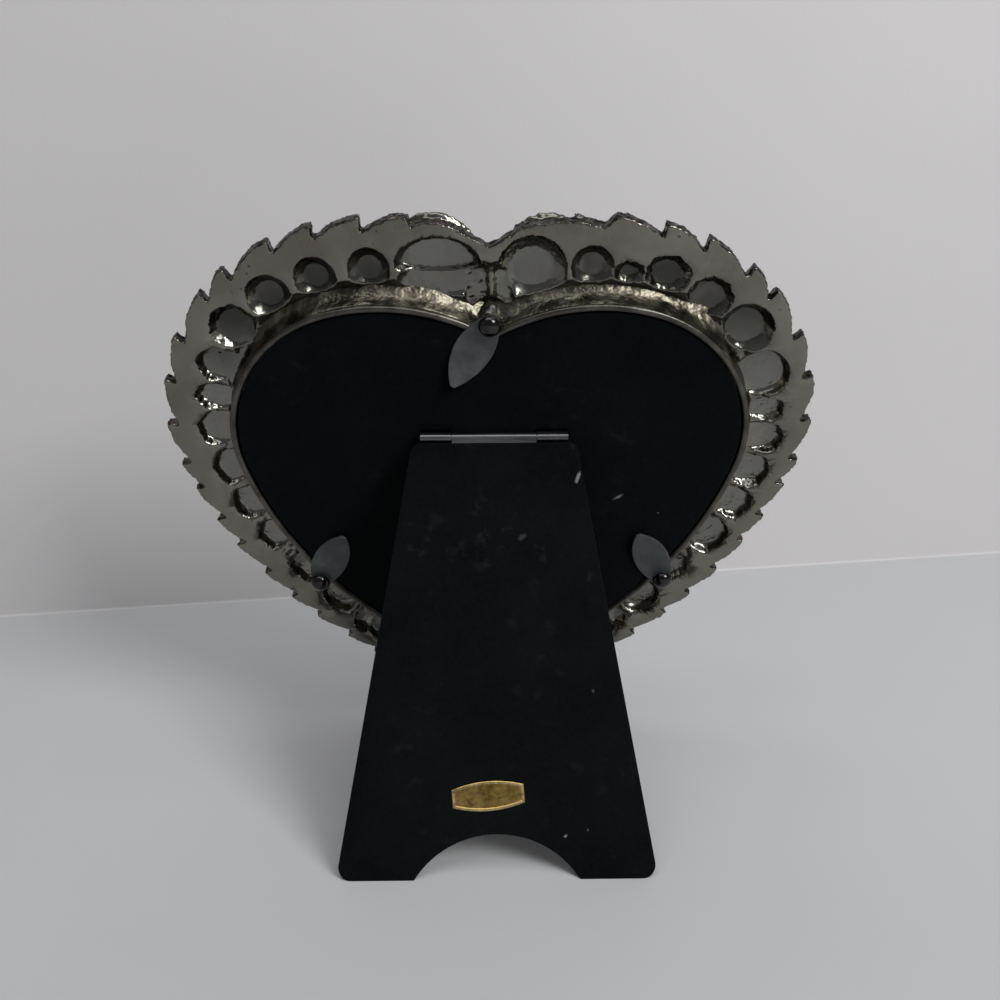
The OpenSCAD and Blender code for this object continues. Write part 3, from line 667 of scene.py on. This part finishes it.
# Painted shade: the upright outer faces of the leaf edges get a near black, mottled copy of the plating,
# which stands for the dark they reflect.
edge_shade = Finish("casting_edge_painted_shade")
mottle = edge_shade.cloud(520.0, 4.0, 0.6)
tone = edge_shade.blend(mottle.over(0.42, 0.66), (0.020, 0.017, 0.015, 1), (0.12, 0.100, 0.090, 1))
edge_shade_finish = edge_shade.close(edge_shade.skin(Base_Color=tone, Metallic=1.0, Roughness=mottle.over(0.3, 0.7, 0.42, 0.2),
                              Normal=edge_shade.dent(mottle, 0.0003, 0.7)))
right_side = kdtree.KDTree(len(edge_points))
for k, (x, y) in enumerate(edge_points):
    right_side.insert((x, y, 0), k)
right_side.balance()
upright_below, leaf_front, edge_shade_from = 0.72, 2.5, 9.6
edge_faces = [abs(face.normal.z) < upright_below and face.center.z < leaf_front
              and right_side.find((abs(face.center.x), face.center.y, 0))[2] > edge_shade_from
              for face in casting.data.polygons]
seat(casting, leaned, "cast_metal", metal, "frame_casting", smooth=0)
casting.data.materials.append(edge_shade_finish)
widest, highest = cad_box[1][0], cad_box[1][2]
for corner in casting.data.vertices:
    corner.co.x = max(-widest, min(widest, corner.co.x))
    corner.co.z = max(0.0, min(highest, corner.co.z))
for face, on_edge in zip(casting.data.polygons, edge_faces):
    face.use_smooth = True
    face.material_index = 1 if on_edge else 0

# Wall and lip of the casting: a thin wall stands round the board, its foot flares out to the
# hollows at the top, and at the front the lip holds the glass. All are cast in one with the
# border, and a row of beads is cast on the lip.
wall_profile = [(1.2, 3.3), (1.2, 0.5), (1.15, -2.1), (0.98, -2.38), (0.72, -2.49), (0.4, -2.49),
                (0.14, -2.4), (0.0, -2.15), (0.0, 3.3)]
casting_wall = wrapped("casting_wall", opening, wall_profile, 128, 0.12)


def shaded_plating(name, scale, dark, light, depth, glossy, matt):
    """The same plating, darker and rougher, with painted shade that dims its reflections."""
    dimmed = Finish(name)
    blotches = dimmed.cloud(scale, 4.0, 0.6)
    tone = dimmed.blend(blotches.over(0.36, 0.64), dark, light)
    lumpy = dimmed.dent(dimmed.cloud(scale * 0.8, 3.0, 0.6), depth, 0.8)
    return dimmed.close(dimmed.skin(Base_Color=tone, Metallic=1.0, Normal=lumpy,
                                      Roughness=blotches.over(0.3, 0.75, glossy, matt)))


# Painted shade: the wall and its foot get darker copies of the plating, the foot a yellower one, to dim their
# reflections.
wall_metal = shaded_plating("nickel_wall_shaded", 260.0, dark=(0.066, 0.061, 0.053, 1), light=(0.122, 0.114, 0.099, 1),
                     depth=0.00025, glossy=0.28, matt=0.46)
foot_metal = shaded_plating("nickel_foot_shaded", 290.0, dark=(0.066, 0.061, 0.046, 1), light=(0.185, 0.171, 0.132, 1),
                     depth=0.0009, glossy=0.24, matt=0.48)
seat(casting_wall, leaned, "cast_metal", wall_metal, "frame_casting", smooth=50)
foot_profile = [(0.6, 2.9), (4.2, 2.9), (4.1, 2.25), (3.7, 1.95), (3.2, 1.55), (2.7, 1.1), (2.25, 0.65),
                (1.9, 0.2), (1.65, -0.35), (1.48, -0.9), (1.33, -1.5), (1.2, -2.1), (0.6, -2.1)]
foot_rear, foot_front, foot_sunk, foot_from, foot_full = -1.8, 3.1, 2.4, 93, 101
wall_foot = wrapped("casting_wall_foot", opening, foot_profile, 128, 0.5)
for corner in wall_foot.data.vertices:
    x, y, z = corner.co
    lumps = 0.22 * noise.noise(Vector((x * 0.55, y * 0.55, z * 0.4)))
    lumps += 0.1 * noise.noise(Vector((x, y, z)) * 1.3)
    sunk_in = foot_sunk * (1 - ease(y, foot_from, foot_full))
    corner.co.z = max(foot_rear, min(z + lumps + sunk_in, foot_front))
seat(wall_foot, leaned, "cast_metal", foot_metal, "frame_casting", smooth=50)
lip_profile = [(1.2, 2.7), (-2.35, 2.7), (-2.5, 2.85), (-2.5, 3.8), (-2.25, 4.15), (-0.7, 4.2), (-0.4, 4.0),
               (0.9, 3.95), (1.3, 3.6)]
lip = wrapped("lip", opening, lip_profile, 128)
beads, bead_count, bead_in, bead_level, bead_radius, bead_high = [lip], 104, -1.5, 4.15, 0.85, 0.5
for k in range(bead_count):
    spot, turn = opening.at(bead_in, (k + 0.5) / (bead_count / 2) % 1 * opening.length(bead_in))
    side = 1 if k < bead_count / 2 else -1
    beads.append(dome(spot.x * side, spot.y, bead_level, bead_radius, bead_radius, bead_high, fine=10))
seat(joined("casting_lip", beads), leaned, "cast_metal", metal, "frame_casting", smooth=50)

# Button posts: three round posts cast on the border, one in the cleft and two low at the sides.
# Their ends were spot faced, and rings are left from the tool.
def turned(name, profile, segments=36):
    """A piece turned on a lathe. The profile runs along the axis from end to end."""
    fresh()
    rings = len(profile) - 1
    bpy.ops.mesh.primitive_uv_sphere_add(segments=segments, ring_count=rings, radius=1)
    piece = made(name)
    for corner in piece.data.vertices:
        ring = round(math.acos(max(-1.0, min(1.0, corner.co.z))) / math.pi * rings)
        turn = math.atan2(corner.co.y, corner.co.x)
        radius, level = profile[ring]
        corner.co = (radius * math.cos(turn), radius * math.sin(turn), level)
    bpy.ops.object.mode_set(mode="EDIT")
    bpy.ops.mesh.select_all(action="SELECT")
    bpy.ops.mesh.normals_make_consistent(inside=False)
    bpy.ops.object.mode_set(mode="OBJECT")
    return piece


posts, ring_count, post_radius, ring_deep, ring_front, ring_pitch = [], 17, 1.9, 0.16, 3.0, 0.32
rings = [(post_radius - ring_deep * (k % 2), ring_front - ring_pitch * k) for k in range(ring_count)]
for x, y in post_places:
    post = turned("post", [(0, 3.2)] + rings + [(1.75, -2.5), (1.5, -2.55), (0, -2.55)])
    post.data.transform(Matrix.Translation((x, y, 0)))
    posts.append(post)
seat(joined("casting_posts", posts), leaned, "cast_metal", metal, "frame_casting", smooth=50)

# Button rivets: a steel rivet with a domed head holds each button on its post. They are
# blackened and glossy.
rivets, head_radius, head_level, head_high = [], 1.95, -3.2, 1.5
shank = [(0, 0.4), (0.95, 0.4), (1.0, 0.2), (1.0, -3.1), (1.8, head_level)]
head = [(head_radius * math.cos(math.radians(a)), head_level - head_high * math.sin(math.radians(a)))
        for a in range(6, 90, 7)]
for x, y in post_places:
    rivet = turned("rivet", shank + head + [(0, -4.7)])
    rivet.data.transform(Matrix.Translation((x, y, 0)))
    rivets.append(rivet)
black = Finish("blackened_rivet")
mottle = black.cloud(700.0, 4.0)
tone = black.blend(mottle.over(0.45, 0.7), (0.010, 0.009, 0.010, 1), (0.034, 0.029, 0.030, 1))
bumpy = black.dent(black.cloud(500.0, 3.0), 0.00006, 0.4)
rivet_black = black.close(black.skin(Base_Color=tone, Metallic=1.0, Roughness=mottle.over(0.3, 0.8, 0.12, 0.3),
                                     Coat_Weight=0.6, Coat_Roughness=0.12, Normal=bumpy))
seat(joined("rivet_heads", rivets), leaned, "rivet_dark", rivet_black, "button_rivets", smooth=50)

# Turn buttons: three leaves pressed from thin steel, with the tip bent out for the finger.
# They are blackened to a dull blue grey and turn on the rivets.
reach, tail, leaf_wide, sheet_thick, sheet_level = 13.1, 2.1, 6.7, 0.47, -2.6
bend_from, bend_high, bend_power, cupped = 6.0, 1.3, 1.7, 0.12
arc = (((reach + tail) / 2 + 0.4) ** 2 + leaf_wide ** 2 / 4) / leaf_wide
sheet = Finish("blackened_sheet")
scuff = sheet.cloud(300.0, 5.0, 0.6)
streak = sheet.cloud(60.0, 4.0, 0.6, sheet.place(stretch=(1, 1, 0.3)))
tone = sheet.blend(scuff.over(0.4, 0.75), (0.054, 0.061, 0.062, 1), (0.106, 0.114, 0.113, 1))
tone = sheet.blend(streak.over(0.5, 0.75, 0.0, 0.5), tone, (0.11, 0.12, 0.12, 1))
matt = sheet.dent(sheet.cloud(1400.0, 3.0), 0.00004, 0.6)
sheet_black = sheet.close(sheet.skin(Base_Color=tone, Metallic=0.55, Normal=matt,
                                     Roughness=scuff.over(0.3, 0.8, 0.5, 0.68)))
for name, place, turn in (("top", 0, -150), ("left", 1, 26), ("right", 2, -26)):
    fresh()
    bpy.ops.mesh.primitive_grid_add(x_subdivisions=14, y_subdivisions=30, size=2)
    button = made("button_" + name + "_leaf")
    for corner in button.data.vertices:
        u, v = corner.co.x, (corner.co.y + 1) / 2
        y = -tail + v * (reach + tail)
        half = math.sqrt(arc ** 2 - (y - (reach - tail) / 2) ** 2) - (arc - leaf_wide / 2)
        lift = bend_high * max(0.0, (y - bend_from) / (reach - bend_from)) ** bend_power
        corner.co = (u * half, y, sheet_level - lift - cupped * u * u * (half / leaf_wide * 2) ** 2)
    thick = button.modifiers.new("thick", "SOLIDIFY")
    thick.thickness, thick.offset = sheet_thick, 1
    rounded(button, 0.1, 2, 50)
    x, y = post_places[place]
    seat(button, leaned @ Matrix.Translation((x, y, 0)) @ Matrix.Rotation(math.radians(turn), 4, "Z"),
         "button_metal", sheet_black, "turn_button_" + name, body="button_" + name, smooth=45)

# Velvet of the board: black cotton velvet. It is cut a little larger than the board, glued over
# its back and turned over its edge, and dust and lint cling to the pile.
def velvet(name, dark, light, dust, lint):
    """Black pile, brushed this way and that. Lint gives the place, turn and size of caught fluff."""
    pile = Finish(name)
    brushed = pile.cloud(55.0, 5.0, 0.66)
    fine = pile.cloud(1500.0, 2.0)
    tone = pile.blend(brushed.over(0.38, 0.66) * 0.6 + fine.over(0.3, 0.75) * 0.4, dark, light)
    height = pile.along("Z")
    dusty = pile.cloud(330.0, 3.0, 0.6).over(0.58, 0.74) * pile.cloud(60.0).over(0.45, 0.6)
    tone = pile.blend(dusty * height.over(0.045, 0.072, 0.25 * dust, dust), tone, (0.035, 0.037, 0.037, 1))
    specks = pile.cells(1100.0).over(0.0, 0.075, 1.0, 0.0) * pile.cloud(260.0).over(0.57, 0.62)
    tone = pile.blend(specks * 0.5, tone, (0.10, 0.10, 0.10, 1))
    fluff = pile.cloud(1400.0, 3.0)
    for spot, turn, size, white in lint:
        where = pile.node("ShaderNodeMapping", {"vector_type": "TEXTURE"}, {
            "Vector": pile.place(), "Location": spot, "Rotation": (0, turn, 0), "Scale": size})
        apart = pile.node("ShaderNodeVectorMath", {"operation": "LENGTH"}, {0: where}, "Value")
        caught = (apart + fluff * 1.5).over(1.9, 1.1, 0.0, white * 0.7)
        tone = pile.blend(caught, tone, (0.30, 0.31, 0.30, 1))
    ruffled = pile.dent(fine, 0.00018, 0.7)
    return pile.close(pile.skin(Base_Color=tone, Roughness=0.95, Specular_IOR_Level=0.10, Sheen_Weight=0.065,
                                Sheen_Roughness=0.35, Sheen_Tint=(0.42, 0.62, 0.75, 1), Normal=ruffled))


def tray(name, outer, inner, back, front, floor_level):
    """Cloth glued over a board: the board's outline with the board itself taken out."""
    cover = cut_out(name, outer, [back, front])
    rounded(cover, 0.3, 3, 60)
    return cut_away(cover, cut_out("inside", inner, [floor_level, front + 1]))


board_play, under_cloth, cloth_thick = 0.3, 0.66, 0.36
cover = tray("board_velvet_cover", opening.round_trip(-board_play, 70),
             opening.round_trip(-under_cloth, 70), back=-2.25, front=-0.32, floor_level=-1.9)
velvet_black = velvet("black_velvet", (0.0003, 0.0006, 0.0009, 1), (0.0022, 0.0031, 0.0037, 1), 0.12, [
    ((-0.02416, -0.00321, 0.06208), 0.6, (0.0010, 0.002, 0.00034), 0.8),
    ((-0.03211, -0.00441, 0.05839), 0.0, (0.00022, 0.002, 0.00022), 0.4)])
seat(cover, leaned, "velvet", velvet_black, "board_velvet", smooth=50)

# Velvet of the leg: the same velvet, glued over the outer face of the leg and turned over its
# edges. It hangs on the hinge with the leg, is dustier, and ends level with the table.
hinge_up, hinge_behind, open_turn = 80.904, -3.7, math.radians(35.8)
hung = leaned @ Matrix.Translation((0, hinge_up, hinge_behind)) @ Matrix.Rotation(open_turn, 4, "X")
leg_top, leg_foot, leg_start, leg_length, leg_end, leg_middle = 14.8, 29.0, 1.0, 79.262, 79.762, -0.7
top_round, foot_round = 2.0, 2.5
arch_half, arch_high = 14.7, 7.8
arch_radius = (arch_half ** 2 + arch_high ** 2) / (2 * arch_high)
corner_steps, arch_steps = 7, 28


def leg_outline(inset):
    def half(y):
        return leg_top + (leg_foot - leg_top) * (y - leg_start) / (leg_length - leg_start) - inset

    top, bottom = leg_start + inset, leg_end - inset
    corners = [((half(top), -top), top_round - inset), ((half(bottom), -bottom), foot_round - inset)]
    side = []
    for (x, y), radius in corners:
        here = Vector((x, y))
        ways = (Vector((-1, 0)), (Vector((half(bottom), -bottom)) - Vector((half(top), -top))).normalized())
        first, second = ways if y > -leg_length / 2 else (-ways[1], ways[0])
        opened = math.acos(first.dot(second))
        middle = here + (first + second).normalized() * radius / math.sin(opened / 2)
        starts = here + first * radius / math.tan(opened / 2) - middle
        ends = here + second * radius / math.tan(opened / 2) - middle
        a, b = math.atan2(starts.y, starts.x), math.atan2(ends.y, ends.x)
        b += 2 * math.pi if b - a > math.pi else 0
        b -= 2 * math.pi if b - a > math.pi else 0
        for k in range(corner_steps + 1):
            t = a + (b - a) * k / corner_steps
            side.append(middle + radius * Vector((math.cos(t), math.sin(t))))
    centre_y, r = -leg_length - arch_radius + arch_high, arch_radius + inset
    edge = math.asin(min(1.0, (-bottom - centre_y) / r))
    for k in range(arch_steps + 1):
        t = edge + (math.pi - 2 * edge) * k / arch_steps
        side.append(Vector((r * math.cos(t), centre_y + r * math.sin(t))))
    trip = side + [Vector((-p.x, p.y)) for p in reversed(side[:2 * (corner_steps + 1)])]
    return [p + Vector((leg_middle, 0)) for p in trip]


cover = tray("leg_velvet_cover", leg_outline(0.0), leg_outline(cloth_thick), back=-1.2, front=0.74,
             floor_level=-0.85)
leg_black = velvet("leg_velvet", (0.0003, 0.0007, 0.0011, 1), (0.0034, 0.0048, 0.0055, 1), 0.45, [
    ((-0.01567, 0.00601, 0.06895), 1.2, (0.0012, 0.002, 0.00034), 0.75),
    ((-0.00556, 0.00928, 0.05878), 0.5, (0.0008, 0.002, 0.0005), 0.15),
    ((-0.01313, 0.02575, 0.00748), 0.7, (0.00042, 0.002, 0.00028), 0.8),
    ((-0.01710, 0.02543, 0.00848), 0.0, (0.00028, 0.002, 0.00022), 0.3),
    ((-0.01815, 0.01777, 0.03233), 0.0, (0.00028, 0.002, 0.00028), 0.25)])
seat(cover, hung, "velvet", leg_black, "leg_velvet", body="leg", smooth=50)
bpy.ops.object.mode_set(mode="EDIT")
bpy.ops.mesh.select_all(action="SELECT")
bpy.ops.mesh.bisect(plane_co=(0, 0, 0), plane_no=(0, 0, 1), use_fill=True, clear_inner=True)
bpy.ops.object.mode_set(mode="OBJECT")

# Foil label: thin gold foil on paper with a sticky back, stamped so that a raised edge runs round
# it, and pressed on the velvet low on the leg. It is left plain.
label_long, label_high, label_sag, label_thick, bow_steps = 13.0, 5.4, 1.05, 0.13, 16
bow = ((label_long / 2) ** 2 + label_sag ** 2) / (2 * label_sag)
edge = []
for sign in (1, -1):
    for k in range(bow_steps + 1):
        x = sign * (label_long / 2 - k * label_long / bow_steps)
        edge.append(Vector((x, sign * (label_high / 2 - bow + math.sqrt(bow ** 2 - x ** 2)))))
foil = cut_out("foil_stamped", edge, [0, label_thick])
bpy.ops.object.mode_set(mode="EDIT")
bpy.ops.mesh.select_mode(type="FACE")
bpy.ops.mesh.select_all(action="DESELECT")
bpy.ops.object.mode_set(mode="OBJECT")
for face in foil.data.polygons:
    face.select = face.normal.z > 0.9
bpy.ops.object.mode_set(mode="EDIT")
for inset, rise in ((0.12, 0.09), (0.34, 0), (0.14, -0.10)):
    bpy.ops.mesh.inset(thickness=inset, depth=rise)
bpy.ops.object.mode_set(mode="OBJECT")
foil.data.transform(Matrix.Scale(-1, 4, (0, 0, 1)))
foil.data.flip_normals()


def gilt(name, dark, light):
    gold = Finish(name)
    crease = gold.cloud(620.0, 4.0, 0.6)
    tone = gold.blend(crease.over(0.35, 0.7), dark, light)
    creased = gold.dent(crease, 0.0001, 0.5)
    stamped = gold.dent(gold.cells(1300.0, feature="SMOOTH_F1"), 0.00010, 0.5, creased)
    return gold.close(gold.skin(Base_Color=tone, Metallic=1.0, Roughness=crease.over(0.3, 0.8, 0.2, 0.42),
                                Normal=stamped))


gold_foil = gilt("gold_foil", (0.27, 0.17, 0.045, 1), (0.50, 0.34, 0.11, 1))
gold_edge = gilt("gold_foil_edge", (0.52, 0.40, 0.19, 1), (0.80, 0.66, 0.38, 1))
label_seat = (hung @ Matrix.Translation((0.8, 14.8 - leg_length, -1.2))
              @ Matrix.Rotation(math.radians(-4.5), 4, "Z"))
levels = [corner.co.z for corner in foil.data.vertices]
rim_faces = [max(levels[i] for i in face.vertices) < min(levels) + 0.01 for face in foil.data.polygons]
seat(foil, label_seat, "gold_foil", gold_foil, "foil_label", body="leg", smooth=30)
foil.data.materials.append(gold_edge)
for face, on_rim in zip(foil.data.polygons, rim_faces):
    face.material_index = 1 if on_rim else 0

# Glass pane: clear float glass, cut to a heart with a little play in the opening. Its edges are
# ground, and it lies loose between the lip and the picture.
glass = Finish("clear_glass")
smear = glass.cloud(45.0, 3.0).over(0.4, 0.75, 0.01, 0.07)
clear_glass = glass.close(glass.skin(Base_Color=(0.93, 0.97, 0.955, 1), Roughness=smear, IOR=1.5,
                                     Transmission_Weight=1.0))
pane = cut_out("glass_cut", opening.round_trip(-board_play, 90), [1.0, 2.6])
rounded(pane, 0.15, 1, 60)
seat(pane, leaned, "glass", clear_glass, "glass_pane", smooth=20)


# Picture card: the blank white card that takes the place of a picture. It keeps the shape that the
# drawing gives it, as do all the pieces below, and each gets its finish.
def carried(finish, *nodes):
    """Gives its finish to what keeps the drawing's shape."""
    for node in nodes:
        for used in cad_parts[node].material_slots:
            used.material = finish


card = Finish("blank_card")
fibre = card.cloud(2400.0, 3.0)
tone = card.blend(fibre.over(0.3, 0.7), (0.70, 0.68, 0.62, 1), (0.78, 0.765, 0.71, 1))
blank_card = card.close(card.skin(Base_Color=tone, Roughness=0.82, Normal=card.dent(fibre, 0.00003, 0.4)))
carried(blank_card, "picture_card")


# Filler card, boards and lining: grey card presses the picture to the glass, the boards of the
# back and the leg are pressed fibre, and black paper is glued on the inner face of the leg.
def fibreboard(name, dark, light):
    wood = Finish(name)
    chips = wood.cloud(600.0, 5.0, 0.65)
    tone = wood.blend(chips.over(0.3, 0.72), dark, light)
    return wood.close(wood.skin(Base_Color=tone, Roughness=0.88, Normal=wood.dent(chips, 0.0001, 0.5)))


grey_card = fibreboard("grey_card", (0.24, 0.19, 0.13, 1), (0.34, 0.27, 0.19, 1))
brown_board = fibreboard("brown_board", (0.10, 0.065, 0.038, 1), (0.19, 0.13, 0.08, 1))
black_paper = fibreboard("black_paper", (0.012, 0.012, 0.013, 1), (0.024, 0.024, 0.026, 1))
carried(grey_card, "filler_card")
carried(brown_board, "board_core", "leg_core")
carried(black_paper, "leg_lining")

# Hinge: two plates of bare rolled steel strip with their knuckles on a pin. The plates lie under
# the velvet of the board and of the leg, and small brass rivets hold them.
steel = Finish("hinge_steel")
drawn = steel.cloud(500.0, 4.0, 0.6, steel.place(stretch=(0.06, 1, 1)))
tone = steel.blend(drawn.over(0.35, 0.7), (0.085, 0.085, 0.088, 1), (0.30, 0.30, 0.305, 1))
up = steel.along("Z")
knuckle_low, knuckle_high, fade = 0.0746, 0.0764, 0.0001
# Painted shade: above and below the knuckles the plates are painted near black, standing for the shade where
# they go into the velvet.
unshaded_band = up.over(knuckle_low - fade, knuckle_low) * up.over(knuckle_high, knuckle_high + fade, 1.0, 0.0)
tone = steel.blend(unshaded_band, (0.006, 0.007, 0.008, 1), tone)
hinge_steel = steel.close(steel.skin(Base_Color=tone, Metallic=1.0, Normal=steel.dent(drawn, 0.00006, 0.5),
                                     Roughness=drawn.over(0.3, 0.8, 0.22, 0.42)))
carried(hinge_steel, "hinge_board_plate", "hinge_leg_plate", "hinge_pin")
brass = Finish("rivet_brass")
dull = brass.cloud(800.0, 4.0)
tone = brass.blend(dull.over(0.3, 0.7), (0.32, 0.23, 0.08, 1), (0.48, 0.37, 0.15, 1))
rivet_brass = brass.close(brass.skin(Base_Color=tone, Metallic=1.0, Roughness=dull.over(0.3, 0.8, 0.3, 0.5)))
carried(rivet_brass, "board_hinge_rivets", "leg_hinge_rivets")

# The camera's picture is kept as it is.
bpy.context.scene.view_settings.view_transform = "Standard"
